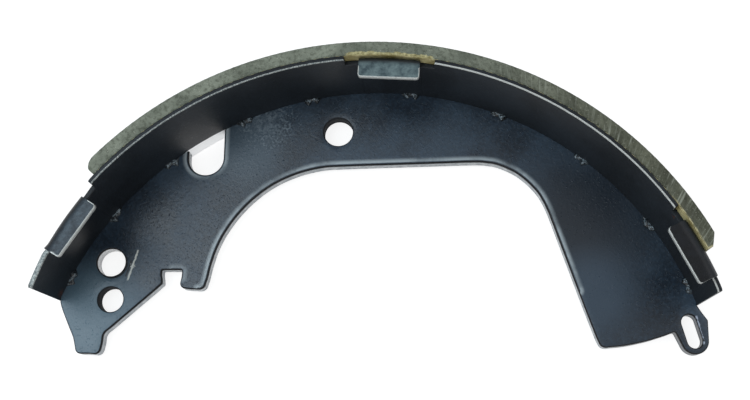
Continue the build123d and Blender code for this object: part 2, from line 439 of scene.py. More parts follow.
def give_surface(shader, colour, roughness, height, strength, distance, specular=0.5):
    """Feeds a colour and a roughness to the shader, and a height through a Bump node."""
    inputs = {"Height": height, "Strength": strength, "Distance": distance}
    normal = add_node(shader.id_data, "ShaderNodeBump", inputs).outputs["Normal"]
    names = ("Base Color", "Roughness", "Specular IOR Level", "Normal")
    for name, value in zip(names, (colour, roughness, specular, normal)):
        set_input(shader.inputs[name], value)


# Dip coat: cloudy tone, a gloss that varies with it, and the grain of the steel beneath
dip_coat, coat_in, coat_out = new_group(
    "dip coat",
    {"Dark": "Color", "Light": "Color", "Gloss": "Float"},
    {"Color": "Color", "Roughness": "Float", "Height": "Float"},
)
clouds = speckle(coat_in["Place"], 38.0, 4.0, 0.6)
grain = speckle(coat_in["Place"], 900.0, 3.0, 0.75)
flecks = fade(speckle(coat_in["Place"], 1500.0, 3.0), 0.6, 0.72)
tone = calculate("ADD", fade(clouds, 0.36, 0.66, 0.0, 0.7), fade(grain, 0.4, 0.7, 0.0, 0.5))
worn_gloss = calculate("ADD", coat_in["Gloss"], fade(clouds, 0.3, 0.7, 0, 0.12))
set_input(coat_out["Color"], blend(coat_in["Dark"], (tone, coat_in["Light"])))
set_input(coat_out["Roughness"], calculate("SUBTRACT", worn_gloss, multiply(flecks, 0.1)))
set_input(coat_out["Height"], calculate("ADD", grain, multiply(flecks, 0.6), clamp=False))

# Spot: a ragged patch round a point, such as a rust stain
spot, spot_in, spot_out = new_group("spot", {"Centre": "Vector", "Radius": "Float"})
spot_gap = vector_maths("DISTANCE", spot_in["Place"], spot_in["Centre"])["Value"]
spot_share = calculate("DIVIDE", spot_gap, spot_in["Radius"], clamp=False)
ragged = fade(speckle(spot_in["Place"], 1200.0, 4.0), 0.3, 0.7, 0.0, 0.8)
set_input(spot_out["Mask"], fade(calculate("ADD", spot_share, ragged, clamp=False), 1.0, 0.55))

# Streak: a thin straight line from a start point, for a scrape as a slipping tool leaves, or for a painted
# glint
streak, streak_in, streak_out = new_group(
    "streak", {"Start": "Vector", "Heading": "Vector", "Length": "Float", "Width": "Float"}
)
from_start = vector_maths("SUBTRACT", streak_in["Place"], streak_in["Start"])["Vector"]
run = vector_maths("DOT_PRODUCT", from_start, streak_in["Heading"])["Value"]
run_inputs = {0: streak_in["Heading"], "Scale": run}
on_line = add_node(streak, "ShaderNodeVectorMath", run_inputs, operation="SCALE").outputs["Vector"]
off_line = vector_maths("DISTANCE", from_start, on_line)["Value"]
patchy = fade(speckle(streak_in["Place"], 900.0, 4.0, 0.7), 0.3, 0.6, 0.35, 1.3)
off_line = calculate("DIVIDE", off_line, streak_in["Width"], clamp=False)
off_line = calculate("DIVIDE", off_line, patchy, clamp=False)
run_share = calculate("DIVIDE", run, streak_in["Length"], clamp=False)
run_middle = calculate("ABSOLUTE", calculate("SUBTRACT", run_share, 0.5, clamp=False))
set_input(streak_out["Mask"], multiply(fade(off_line, 1.0, 0.5), fade(run_middle, 0.5, 0.44)))

# Bore: the wall of a round hole and the first part of its rim
bore, bore_in, bore_out = new_group("bore", {"Centre": "Vector", "Radius": "Float"})
bore_plan = vector_maths("MULTIPLY", bore_in["Place"], (1, 1, 0))["Vector"]
bore_gap = vector_maths("DISTANCE", bore_plan, bore_in["Centre"])["Value"]
past_bore = calculate("SUBTRACT", bore_gap, bore_in["Radius"], clamp=False)
set_input(bore_out["Mask"], fade(past_bore, 0.0003, 0.00015))

rust = srgb(70, 42, 30)
# A near white for painted light: the lever's pivot hole and the table inside the window
painted_white_light = srgb(246, 247, 248)
gouge_heading = (0.281, 0.960, 0.0)
# Patches of painted light and shade on the coat, where the lamps' reflection falls brighter or dimmer: a
# middle, how far it reaches, and the colour painted there
painted_light_patches = [
    ((-0.0880, -0.0700, web_high.z), 0.030, srgb(76, 100, 114)),
    ((-0.0350, -0.0060, web_high.z), 0.021, srgb(64, 80, 92)),
    ((0.0900, -0.0330, web_high.z), 0.040, srgb(12, 26, 38)),
    ((0.0930, -0.0600, web_high.z), 0.022, srgb(46, 64, 80)),
]
lever_pivot = on_drum(0.1106, 149.3, 0)
spring_hole = on_drum(0.1038, 155.5, 0)
shadow_middle = lever_pivot + (0.0007, -0.0006, 0)

web_material, tree, shader, place = new_material("web coat")
coat = place_group(dip_coat, place, Dark=srgb(20, 31, 42), Light=srgb(44, 62, 78), Gloss=0.3)
gap, wall, from_arch = (read_value(tree, name) for name in ("edge_gap", "wall", "arch_gap"))
web_colour = coat["Color"]
for middle, reach, colour in painted_light_patches:
    away = vector_maths("DISTANCE", place, middle)["Value"]
    web_colour = blend(web_colour, (fade(away, reach, 0.2 * reach, 0.0, 0.9), colour))

# A light, rougher patch between the window and the hold-down hole
pale_patch = mask_of(spot, place, Centre=(-0.0262, 0.0035, web_high.z), Radius=0.0165)
pale_patch = multiply(pale_patch, fade(speckle(place, 420.0, 5.0, 0.7), 0.35, 0.62, 0.1, 0.8))

# A painted highlight along the arch, on the rolled edge where it meets the flat face
arch_highlight = multiply(fade(from_arch, 0.0025, 0.0008), fade(from_arch, 0.0005, 0.0008))
highlight_breakup = fade(speckle(place, 60.0, 4.0, 0.6), 0.35, 0.6, 0.25, 0.9)
arch_highlight = multiply(arch_highlight, highlight_breakup)

# Cut walls: a painted pale reflection of the floor, weaker round the ear, and painted shade in the bores
cut_wall = multiply(fade(wall, 0.12, 0.3), fade(gap, 0.0001, 0.00002))
floor_reflection_share = fade(parts_of(place)["X"], 0.102, 0.094, 0.12, 0.9)
wall_grain = fade(speckle(place, 500.0, 4.0), 0.35, 0.7)
wall_reflection_tone = blend(srgb(164, 171, 176), (wall_grain, srgb(218, 222, 224)))
# A painted shade line along the rolled edges, on their steep turn into the cut wall
edge_shade_line = multiply(fade(gap, 0.0005, 0.00022), fade(wall, 0.2, 0.1))
hold_down_bore = mask_of(bore, place, Centre=(0, 0, 0), Radius=0.0053)
spring_bore = mask_of(bore, place, Centre=spring_hole, Radius=0.00445)
lever_bore = mask_of(bore, place, Centre=lever_pivot, Radius=0.005)
lever_shadow = mask_of(bore, place, Centre=shadow_middle, Radius=0.0051)
# Painted shade on the walls of the hold-down and spring holes
bore_shade = calculate("ADD", hold_down_bore, spring_bore)
# The lever's pivot hole has its wall painted near white, painted light from the floor beyond
lever_bore_light = multiply(lever_bore, fade(wall, 0.0, 0.06))

# The scrape beside the lever's pin hole, with a chip and a painted shadow along its side, a painted glint
# on the ear, and rust on the toe
pin_scrape, scrape_shadow, ear_glint = (
    mask_of(streak, place, Start=(x, y, web_high.z), Heading=heading, Length=length, Width=width)
    for x, y, heading, length, width in (
        (-0.07400, -0.05560, gouge_heading, 0.0120, 0.0004),
        (-0.07470, -0.05420, gouge_heading, 0.0066, 0.00034),
        (0.12975, -0.07850, (-0.2236, 0.9747, 0.0), 0.0108, 0.0005),
    )
)
pin_chip = mask_of(spot, place, Centre=(-0.07229, -0.04980, web_high.z), Radius=0.0015)
scraped = calculate("ADD", pin_scrape, pin_chip)
toe_rust = mask_of(spot, place, Centre=(-0.0971, -0.05847, web_high.z), Radius=0.0021)
web_colour = blend(
    web_colour,
    (pale_patch, srgb(104, 118, 128)),
    (arch_highlight, srgb(160, 172, 178)),
    (multiply(cut_wall, floor_reflection_share), wall_reflection_tone),
    (edge_shade_line, srgb(3, 4, 6)),
    (multiply(lever_shadow, 0.9), srgb(8, 11, 14)),
    (bore_shade, srgb(13, 18, 24)),
    (lever_bore_light, painted_white_light),
    (multiply(ear_glint, 0.85), srgb(168, 178, 194)),
    (scrape_shadow, srgb(8, 10, 12)),
    (multiply(scraped, 0.9), srgb(188, 192, 186)),
    (multiply(toe_rust, 0.8), rust),
)
matt = multiply(calculate("MAXIMUM", bore_shade, edge_shade_line), 0.6)
web_gloss = calculate("ADD", coat["Roughness"], calculate("ADD", multiply(pale_patch, 0.12), matt))
give_surface(shader, web_colour, web_gloss, coat["Height"], 0.6, 0.00016, specular=0.6)
finish_piece("web_plate", web_mesh, web_material, ["web"])


# ---- Table -------------------------------------------------------------------------------
# The table is a steel strip rolled to the drum's curve. Three tabs are folded inwards from its
# near edge, with relief notches beside each fold and the ends cut back. Sheared edges stay bright.
table_outer = 0.1219
table_thickness = table_outer - table_inner
table_right_angle = 19.9
table_left_angle = 159.2
table_corner_radius = 0.0013
table_edge_radius = 0.00035
land_corner_radius = 0.0005
table_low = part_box("table")[0].z
table_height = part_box("table")[1].z - table_low
tab_angles = 27.2 + 60.3 * np.arange(3)
tab_width = 0.021
tab_reach = 0.0086
tab_trims = np.array([0.0004, 0.0003, 0])
tab_corner_radius = 0.0012
tab_bend_radius = 0.0022
notch_width = 0.005
notch_depth = 0.0044
run_out = 0.03
right_reliefs = np.array([run_out, notch_width, notch_width])
left_reliefs = np.array([notch_width, notch_width, run_out])
shear_slope = 0.00012
tab_rub_width = 0.0022

half_thickness = table_thickness / 2
table_middle = table_outer - half_thickness
bend_middle = tab_bend_radius + half_thickness
bend_start = table_height - half_thickness - bend_middle
bend_length = bend_middle * np.pi / 2
sheet_split = table_height - notch_depth - 0.001


def grid_piece(name, points):
    """A mesh from a grid of points, as columns by rows by 3, with a quad between each four
    neighbours. The rows close into a loop; columns that shrink to a line are merged later, when
    the piece is finished."""
    columns, rows = points.shape[:2]
    index = np.arange(columns * rows).reshape(columns, rows)
    after = np.roll(index, -1, axis=1)
    quads = np.stack([index[:-1], index[1:], after[1:], after[:-1]], axis=-1).reshape(-1, 4)
    mesh = bpy.data.meshes.new(name)
    mesh.from_pydata(points.reshape(-1, 3), [], quads)
    return mesh


def keep_unrolled(mesh, along, across, height):
    """Stores each vertex's place on the piece as if it were unrolled flat, in metres."""
    flat = np.stack(np.broadcast_arrays(along, across, height), axis=-1)
    kept = mesh.attributes.new("unrolled", "FLOAT_VECTOR", "POINT")
    kept.data.foreach_set("vector", np.ascontiguousarray(flat, np.float32).ravel())


# Columns of the grid: even steps round the drum, and close ones at each notch and tab side
wall_offsets = np.array([-1.2, -0.8, -0.5, -0.28, -0.12, -0.06, 0, 0.06, 0.12, 0.28, 0.5, 0.8, 1.2]) / 1000
right_walls = np.stack([-tab_width / 2 + 0 * right_reliefs, -tab_width / 2 - right_reliefs], axis=1)
left_walls = np.stack([tab_width / 2 + 0 * left_reliefs, tab_width / 2 + left_reliefs], axis=1)
wall_places = np.concatenate([right_walls, left_walls], axis=1)[..., None] + wall_offsets
wall_angles = (tab_angles[:, None, None] + np.degrees(np.arcsin(wall_places / table_outer))).ravel()
inside_ends = (wall_angles > table_right_angle + 0.6) & (wall_angles < table_left_angle - 0.7)
wall_angles = wall_angles[inside_ends]
end_inset = np.degrees(table_edge_radius * (1 - np.sin(np.radians([90, 60, 30, 0]))) / table_outer)
corner_inset = np.degrees(np.linspace(0.0004, 0.0017, 8) / table_outer)
end_steps = np.concatenate([end_inset, corner_inset])
even_angles = np.linspace(table_right_angle + 0.8, table_left_angle - 0.8, 300)
end_angles = [table_right_angle + end_steps, table_left_angle - end_steps]
sheet_angles = np.sort(np.concatenate([*end_angles, even_angles, wall_angles]))
sheet_angles = sheet_angles[np.diff(sheet_angles, prepend=0) > 0.002]
sheet_angles = np.concatenate([sheet_angles[:1], sheet_angles, sheet_angles[-1:]])[:, None]

# Where each column lies against the nearest tab, measured square to that tab's middle
nearest = np.abs(sheet_angles - tab_angles).argmin(axis=1)[:, None]
tab_angle = tab_angles[nearest]
tab_side = table_outer * np.sin(np.radians(sheet_angles - tab_angle))
relief = np.where(tab_side > 0, left_reliefs[nearest], right_reliefs[nearest])
tab_gap = np.abs(tab_side) - tab_width / 2
on_tab = np.clip((shear_slope / 2 - tab_gap) / shear_slope, 0, 1)
on_land = np.clip((tab_gap - relief) / shear_slope + 0.5, 0, 1)
end_gap = np.radians(np.minimum(sheet_angles - table_right_angle, table_left_angle - sheet_angles))
end_gap = end_gap * table_outer

# Past the lining, the left end's near edge leans inwards: the angles, and the millimetres there
lean_angles = [139.8, 142.4, 151.8, 153.4, 156.0, 158.5]
end_lean = np.interp(sheet_angles, lean_angles, [0, 0.75, 1.35, 0.5, 1.0, 1.45]) / 1000

# The blank's near edge: how far the sheet runs from its far edge in each column
shear_wave = 0.00006 * ripple(sheet_angles, 3.1, 11)
land_length = table_height - rounding(tab_gap - relief, land_corner_radius)
land_length = land_length + np.minimum(shear_wave, 0)
notch_length = table_height - notch_depth - rounding(end_gap, table_corner_radius)
tab_flat = table_middle * np.cos(np.radians(sheet_angles - tab_angle)) - bend_middle
tab_flat = tab_flat - (table_outer - tab_reach) - end_lean - tab_trims[nearest]
tab_length = bend_start + bend_length + tab_flat - rounding(-tab_gap, tab_corner_radius)
sheet_length = notch_length + on_land * (land_length - notch_length) + on_tab * (tab_length - notch_length)
sheet_start = rounding(end_gap, table_corner_radius)

# Rows of the grid: up the inner face, over the near edge, down the outer face and under the far
# edge. Each row is a share of the length, a share of the start, a fixed part and a thickness.
face_low = np.linspace(0, 1, 15)[:-1]
face_high = np.linspace(0, 1, 30)
turn = np.radians([22.5, 45, 67.5, 90])
edge = table_edge_radius
rows_up = [(0, 1 - s, s * sheet_split + (1 - s) * edge, -half_thickness) for s in face_low]
rows_up += [(s, 0, (1 - s) * sheet_split - s * edge, -half_thickness) for s in face_high]
rows_over = [(1, 0, -edge * (1 - np.sin(a)), edge * (1 - np.cos(a)) - half_thickness) for a in turn]
rows_over += [(1, 0, 0, depth) for depth in (-0.0002, -0.0001)]
rows_under = [(0, 1, edge * (1 - np.sin(a)), half_thickness - edge * (1 - np.cos(a))) for a in turn]
inner_rows, under_rows = np.array(rows_up + rows_over), np.array(rows_under)
mirror = (1, 1, 1, -1)
sheet_rows = [inner_rows, inner_rows[::-1] * mirror, under_rows, under_rows[::-1] * mirror]
share_of_length, share_of_start, fixed_part, sheet_depth = np.concatenate(sheet_rows).T
sheet_run = share_of_length * sheet_length + share_of_start * sheet_start + fixed_part
inner_part = np.clip(-(sheet_depth + 0.0002) / 0.0003, 0, 1)

# Both ends close: the first and last columns lie in the strip's middle
sheet_depth = sheet_depth * np.ones_like(sheet_angles)
sheet_depth[[0, -1]] = 0.0

# A point of the sheet: straight up the strip, then round the bend and in along the tab
folds = on_tab > 0
bend_turn = np.clip((sheet_run - bend_start) / bend_middle, 0, np.pi / 2) * folds
past_bend = np.clip(sheet_run - bend_start - bend_length, 0, None) * folds
straight_run = np.where(folds, np.minimum(sheet_run, bend_start), sheet_run)
rise_share = (table_low + straight_run - web_high.z) / (table_height + table_low - web_high.z)
strip_wave = 0.00003 * np.abs(ripple(sheet_angles, 9.0, 5))
strip_radius = table_middle - end_lean * np.clip(rise_share, 0, 1) - strip_wave
strip_radius = strip_radius + sheet_depth * ~folds
inward_run = bend_middle * (1 - np.cos(bend_turn)) + past_bend
inward_run = inward_run - sheet_depth * np.cos(bend_turn) * folds
sheet_z = table_low + straight_run + (bend_middle + sheet_depth) * np.sin(bend_turn)
sheet_points = on_drum(strip_radius, sheet_angles, sheet_z)
tab_turn = np.radians(tab_angle)
sheet_points[..., 0] -= inward_run * np.cos(tab_turn)
sheet_points[..., 1] -= inward_run * np.sin(tab_turn)

# What the material reads: bright sheared edges on the lands and the tabs, and how far it folds
table_mesh = grid_piece("table_strip", sheet_points)
from_rim = np.abs(sheet_run - sheet_length)
on_near_edge = np.clip(1.4 - from_rim / edge, 0, 1)
on_left_end = (1 - on_tab) * (sheet_angles > tab_angles[-1] + 2)
on_right_end = (1 - on_tab) * (sheet_angles < tab_angles[0] - 2)
lands_worn = np.interp(sheet_angles, [80, 100], [1.0, 0.7])
land_edge = on_near_edge * ((on_land * lands_worn + on_right_end) * inner_part + 1.2 * on_left_end)
tab_edge = on_tab * np.clip(1.3 - from_rim / 0.0005, 0, 1)
left_strength, right_strength = np.array([[0.0, 1.0, 1.3], [0.0, 1.0, 0.8]])
side_strength = np.where(tab_side > 0, left_strength[nearest], right_strength[nearest])
tab_side_edge = on_tab * np.clip(1 + (tab_gap + 0.0001) / 0.0005, 0, 1) * (past_bend > 0) * side_strength
# The left tab is rubbed bright along its lower side as well
on_low_side = (past_bend > 0) * (tab_side > 0) * (nearest == 2)
keep_values(
    table_mesh,
    land_edge=land_edge,
    tab_edge=np.maximum(tab_edge, tab_side_edge),
    folded=bend_turn / (np.pi / 2),
    # Which tab each column belongs to, for the painted light and shade on the tabs
    tab_tone=np.array([0.0, 1.0, 0.5])[nearest] + 0 * sheet_run,
    tab_rub=on_tab * on_low_side * np.clip(1 + tab_gap / tab_rub_width, 0, 1),
)
keep_unrolled(table_mesh, np.radians(sheet_angles) * table_outer, sheet_depth, sheet_z)

# Worn edge: bare steel where the coat is rubbed from a sheared edge, broken up by noise
worn_edge, worn_in, worn_out = new_group("worn edge", {"Edge": "Float", "Spread": "Float"})
wear_reach = multiply(speckle(worn_in["Place"], 420.0, 5.0, 0.7), worn_in["Spread"])
worn = calculate("SUBTRACT", worn_in["Edge"], wear_reach)
set_input(worn_out["Mask"], fade(worn, 0.05, 0.4))


def beside(along, angle, radius):
    """How far a place along an unrolled piece lies to either side of an angle."""
    offset = calculate("SUBTRACT", along, np.radians(angle) * radius, clamp=False)
    return calculate("ABSOLUTE", offset, clamp=False)


bare_steel = srgb(182, 185, 182)
window_angle = 121.95
table_material, tree, shader, place = new_material("table coat")
coat = place_group(dip_coat, place, Dark=srgb(14, 19, 24), Light=srgb(29, 36, 43), Gloss=0.42)
unrolled = read_value(tree, "unrolled", "Vector")
parts = parts_of(unrolled)
tab_value, tone = read_value(tree, "tab_edge"), read_value(tree, "tab_tone")

# Tabs: painted light and shade by how each faces the lamps: lit pale at the crown, blue-black with pale
# ends at the left, and shaded dark at the right
tab_mottle = fade(speckle(place, 300.0, 5.0, 0.7), 0.3, 0.7, 0.0, 1.0)
lit_crown_tab = blend(srgb(54, 70, 76), (tab_mottle, srgb(106, 124, 126)))
left_tab = blend(srgb(20, 31, 42), (tab_mottle, srgb(66, 80, 90)))
shaded_right_tab = blend(srgb(5, 8, 12), (tab_mottle, srgb(16, 20, 26)))
tab_colour = blend(shaded_right_tab, (fade(tone, 0.0, 0.5), left_tab), (fade(tone, 0.5, 1.0), lit_crown_tab))
tab_share = fade(read_value(tree, "folded"), 0.6, 1.0)

# Rust at the left end's corner and by the right tab's fold, and bare steel on the sheared edges
corner_rust = mask_of(spot, place, Centre=on_drum(0.1203, 158.0, web_high.z + 0.002), Radius=0.0026)
fold_rust = mask_of(spot, place, Centre=on_drum(0.1203, 33.6, 0.0275), Radius=0.0018)
rusty = calculate("ADD", corner_rust, fold_rust)
land_wear = mask_of(worn_edge, place, Edge=read_value(tree, "land_edge"), Spread=0.5)
tab_wear = mask_of(worn_edge, place, Edge=tab_value, Spread=0.6)
rub_wear = mask_of(worn_edge, place, Edge=read_value(tree, "tab_rub"), Spread=1.0)
wear = calculate("MAXIMUM", calculate("MAXIMUM", land_wear, tab_wear), multiply(rub_wear, 0.6))
left_part = fade(parts["X"], 0.188, 0.200)
left_grain = fade(speckle(unrolled, 1700.0, 4.0, 0.75), 0.4, 0.66)
left_tone = blend(srgb(96, 104, 106), (left_grain, srgb(186, 190, 186)))
wear_tone = blend(bare_steel, (left_part, left_tone), (fade(tab_value, 0.05, 0.3), bare_steel))

# Inside the window, the table below the web's near face is painted near white and metallic: a painted pool
# of the floor's light
window_side = beside(parts["X"], window_angle, table_outer)
window_floor_light = multiply(fade(window_side, 0.0086, 0.0083), fade(parts["Z"], 0.0030, 0.0027))
window_floor_light = multiply(window_floor_light, fade(parts["Y"], 0.0, -0.0004))
table_colour = blend(
    coat["Color"],
    (tab_share, tab_colour),
    (multiply(rusty, 0.8), rust),
    (wear, wear_tone),
    (window_floor_light, painted_white_light),
)
table_gloss = calculate("SUBTRACT", coat["Roughness"], multiply(tab_share, 0.12))
# Metallic on the worn edges, and on the painted light inside the window
wear_and_window_light = calculate("MAXIMUM", multiply(wear, 0.4), window_floor_light)
set_input(shader.inputs["Metallic"], multiply(wear_and_window_light, 0.8))
give_surface(shader, table_colour, table_gloss, coat["Height"], 0.35, 0.00012, specular=0.3)
finish_piece("table_strip", table_mesh, table_material, ["table"])


# ---- Welds -------------------------------------------------------------------------------
# Ten projection welds hold the web in the table. Each leaves a rough double lump of flash in
# the corner on both faces of the web, under the same dip coat.
weld_angles = [155.0, 142.0, 128.8, 114.3, 101.8, 84.5, 68.5, 52.0, 35.9, 23.4]
flash_length = 0.0066
flash_girth = 0.0021
flash_depth = 0.0014

weld_material, tree, shader, place = new_material("weld flash")
coat = place_group(dip_coat, place, Dark=srgb(6, 8, 10), Light=srgb(44, 52, 58), Gloss=0.2)
# Painted highlight: the outer crest of each lump is painted paler, where light would catch it
crest = fade(read_value(tree, "crest"), 0.3, 0.6)
crest = multiply(crest, fade(speckle(place, 900.0, 3.0, 0.7), 0.46, 0.6))
weld_colour = blend(coat["Color"], (crest, srgb(118, 132, 140)))
give_surface(shader, weld_colour, coat["Roughness"], coat["Height"], 0.8, 0.0002)


def flash_bead(angle, face, seed):
    """A closed bead in the corner of web and table. It is a tube round the seam whose girth has
    two humps, girth = sqrt(1 - u^2) (0.55 + 0.45 sin(pi u)^2) for u from -1 to 1 along it, and
    is swollen and pinched by a few waves round it."""
    draw = np.random.default_rng(seed)
    share = -np.cos(np.linspace(0, np.pi, 29))[:, None]
    round_turn = np.linspace(0, 2 * np.pi, 25)[:-1]
    lean, humps = draw.uniform(-0.25, 0.25, 2)
    girth = np.sqrt(np.clip(1 - share**2, 0, 1)) * (0.55 + 0.45 * np.sin(np.pi * (share + humps)) ** 2)
    swell = 1 + lean * share
    for waves in (1, 2, 3):
        first, second = draw.random(2) * 2 * np.pi
        wave = 0.3 / waves * np.sin(waves * round_turn + first)
        swell = swell + wave * np.sin(2.9 * waves * share + second)
    along = share * flash_length / 2
    radius = table_inner + flash_girth * girth * swell * np.cos(round_turn)
    seam_height = web_high.z if face > 0 else web_low.z
    height = seam_height + flash_depth * girth * swell * np.sin(round_turn)
    radius = np.minimum(radius, table_inner + table_thickness / 2)
    # The share of the bead's outer side that the material paints as a highlight
    crest = girth * np.clip(np.sin(round_turn * face), 0, 1) * (1 - 0.3 * np.cos(round_turn))
    return on_drum(radius, angle + np.degrees(along / table_inner), height), crest


for number, angle in enumerate(weld_angles, start=1):
    weld_name = f"weld_flash_{number:02d}"
    weld_mesh = bpy.data.meshes.new(weld_name)
    joined = bmesh.new()
    for face in (1, -1):
        bead_points, bead_crest = flash_bead(angle, face, 10 * number + face)
        bead_mesh = grid_piece("bead", bead_points)
        keep_values(bead_mesh, crest=bead_crest)
        joined.from_mesh(bead_mesh)
    joined.to_mesh(weld_mesh)
    joined.free()
    finish_piece(weld_name, weld_mesh, weld_material, [f"weld_{number:02d}"])


# ---- Adhesive ----------------------------------------------------------------------------
# The lining is bonded with a phenolic adhesive, cured under pressure to an amber film. A little
# is squeezed out along both edges, and it shows in the notches beside the tabs.
film_inner = table_outer
film_outer = 0.1221
lining_right_angle = 26.5
lining_left_angle = 139.1
film_low, film_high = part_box("bond_film")[0].z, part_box("bond_film")[1].z
film_set_back = 0.0002
squeezed_out = 0.0003


def section_grid(angles, middle, *sides):
    """The radii and heights round a closed section in each column, from those of its sides in
    turn. The first and last columns close onto the middle radius."""
    filled = [np.broadcast_arrays(angles, *side)[1:] for side in sides]
    radius, height = (np.concatenate(parts, axis=1) for parts in zip(*filled))
    radius[[0, -1]] = np.broadcast_to(middle, radius.shape)[[0, -1]]
    return radius, height


film_angles = np.linspace(lining_right_angle, lining_left_angle, 520)[:, None]
film_angles = np.concatenate([film_angles[:1], film_angles, film_angles[-1:]])
film_depth = film_outer - film_inner
squeeze = 0.00025 * ripple(film_angles, 2.3, 21, 5)
film_turn = np.radians(np.linspace(-90, 90, 7))
bead_out = squeezed_out * np.cos(film_turn)
bead_up = (np.sin(film_turn) + 1) / 2
face_z = film_low + (film_high - film_low) * np.linspace(0, 1, 12)[1:-1]
film_r, film_z = section_grid(
    film_angles,
    (film_inner + film_outer) / 2,
    (film_inner, face_z),
    (film_inner + film_depth * bead_up, film_high - film_set_back + squeeze + bead_out),
    (film_outer, face_z[::-1]),
    (film_inner + film_depth * bead_up[::-1], film_low + film_set_back - squeeze - bead_out),
)
film_mesh = grid_piece("adhesive_film", on_drum(film_r, film_angles, film_z))

adhesive_material, tree, shader, place = new_material("cured adhesive")
drips = speckle(place, 160.0, 4.0, 0.6)
mottle = speckle(place, 700.0, 3.0, 0.6)
amber = blend(
    srgb(140, 128, 80),
    (fade(drips, 0.35, 0.65), srgb(206, 196, 148)),
    (fade(mottle, 0.52, 0.7, 0.0, 0.8), srgb(186, 178, 124)),
)
give_surface(shader, amber, fade(mottle, 0.3, 0.7, 0.3, 0.55), mottle, 0.5, 0.0002)
finish_piece("adhesive_film", film_mesh, adhesive_material, ["bond_film"])


# ---- Lining ------------------------------------------------------------------------------
# The lining is the friction block: fibres and fillers pressed in resin, cut to length and
# ground to the drum's radius. Its sawn sides keep diagonal marks, and its corners are chipped.
lining_inner = 0.1221
lining_outer = 0.12698
lining_low, lining_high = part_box("lining")[0].z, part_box("lining")[1].z
bevel_height = 0.0028
bevel_length = 0.0039

lining_angles = np.linspace(lining_right_angle, lining_left_angle, 560)
close_steps = np.degrees(np.array([0.02, 0.06, 0.12, 0.22, 0.35]) * bevel_length / lining_outer)
lining_angles = np.unique(
    np.concatenate([lining_angles, lining_right_angle + close_steps, lining_left_angle - close_steps])
)
lining_angles = np.concatenate([lining_angles[:1], lining_angles, lining_angles[-1:]])[:, None]
right_gap = np.radians(lining_angles - lining_right_angle) * lining_outer
left_gap = np.radians(lining_left_angle - lining_angles) * lining_outer
right_bevel = bevel_height * np.clip(1 - right_gap / bevel_length, 0, 1)
left_share = np.clip(1 - left_gap / bevel_length, 0, 1)
left_round = bevel_height * (1 - np.sqrt(1 - left_share**2)) ** 0.8
lining_top = lining_outer - right_bevel - left_round


def chipped(seed, plain, chip):
    """The size of a corner's bevel in each column: a plain part that wanders a little, and a
    few chips where a slower noise peaks."""
    wander = plain * (1 + 0.2 * ripple(lining_angles, 1.7, seed, 5))
    peaks = np.clip(ripple(lining_angles, 5.3, seed + 1, 5) - 0.55, 0, 1)
    return wander + chip * peaks


near_chip = chipped(31, 0.0003, 0.0001)
far_chip = chipped(33, 0.0003, 0.0003)
seat_chip = chipped(35, 0.00012, 0.0001)

# Rows: up the near side, across the rubbing face, down the far side and back along the seat
side_rows = np.linspace(0, 1, 12)
face_rows = np.linspace(0, 1, 26)
near_r = lining_inner + seat_chip + (lining_top - near_chip - lining_inner - seat_chip) * side_rows
face_z = lining_high - near_chip + (lining_low + far_chip - lining_high + near_chip) * face_rows
far_r = lining_top - far_chip + (lining_inner + seat_chip - lining_top + far_chip) * side_rows
seat_z = lining_low + seat_chip + (lining_high - lining_low - 2 * seat_chip) * side_rows
sides = [(near_r, lining_high), (lining_top, face_z), (far_r, lining_low), (lining_inner, seat_z)]
lining_r, lining_z = section_grid(lining_angles, (lining_inner + lining_top) / 2, *sides)
lining_mesh = grid_piece("lining_block", on_drum(lining_r, lining_angles, lining_z))
keep_unrolled(lining_mesh, np.radians(lining_angles) * lining_outer, lining_r - lining_inner, lining_z)

# Scratches: long thin marks along one direction of an unrolled surface
scratches, scratch_in, scratch_out = new_group("scratches", {"Turn": "Vector", "Fineness": "Float"})
mark_place = scratch_in["Place"]
for change in ({"Rotation": scratch_in["Turn"]}, {"Scale": (0.06, 1.0, 1.0)}):
    inputs = {"Vector": mark_place, **change}
    mark_place = add_node(scratches, "ShaderNodeMapping", inputs).outputs["Vector"]
scratch_noise = speckle(mark_place, scratch_in["Fineness"], 3.0, 0.6)
set_input(scratch_out["Mask"], fade(scratch_noise, 0.5, 0.68))

lining_material, tree, shader, place = new_material("friction lining")
unrolled = read_value(tree, "unrolled", "Vector")
parts = parts_of(unrolled)
side_marks = mask_of(scratches, unrolled, Turn=(0, 0, np.radians(-64)), Fineness=1100.0)
other_marks = mask_of(scratches, unrolled, Turn=(0, 0, np.radians(-40)), Fineness=900.0)
grind_marks = mask_of(scratches, unrolled, Turn=(0, np.radians(4), 0), Fineness=2200.0)
base_mottle = fade(speckle(place, 90.0, 5.0, 0.6), 0.3, 0.7)
crumbs = speckle(place, 800.0, 5.0, 0.75)
fibres = fade(speckle(place, 2600.0, 2.0), 0.66, 0.74)
right_side = fade(parts["X"], 0.20, 0.10)
paler = blend(srgb(104, 110, 98), (base_mottle, srgb(136, 142, 128)))
browner = blend(srgb(68, 70, 58), (base_mottle, srgb(102, 104, 88)))
mark_patch = fade(speckle(place, 70.0, 3.0), 0.42, 0.6)
mark_share = multiply(side_marks, fade(right_side, 0.0, 1.0, 0.04, 0.5))
mark_share = multiply(mark_share, fade(mark_patch, 0.0, 1.0, 0.35, 1.0))
other_share = multiply(other_marks, fade(right_side, 0.0, 1.0, 0.1, 0.4))

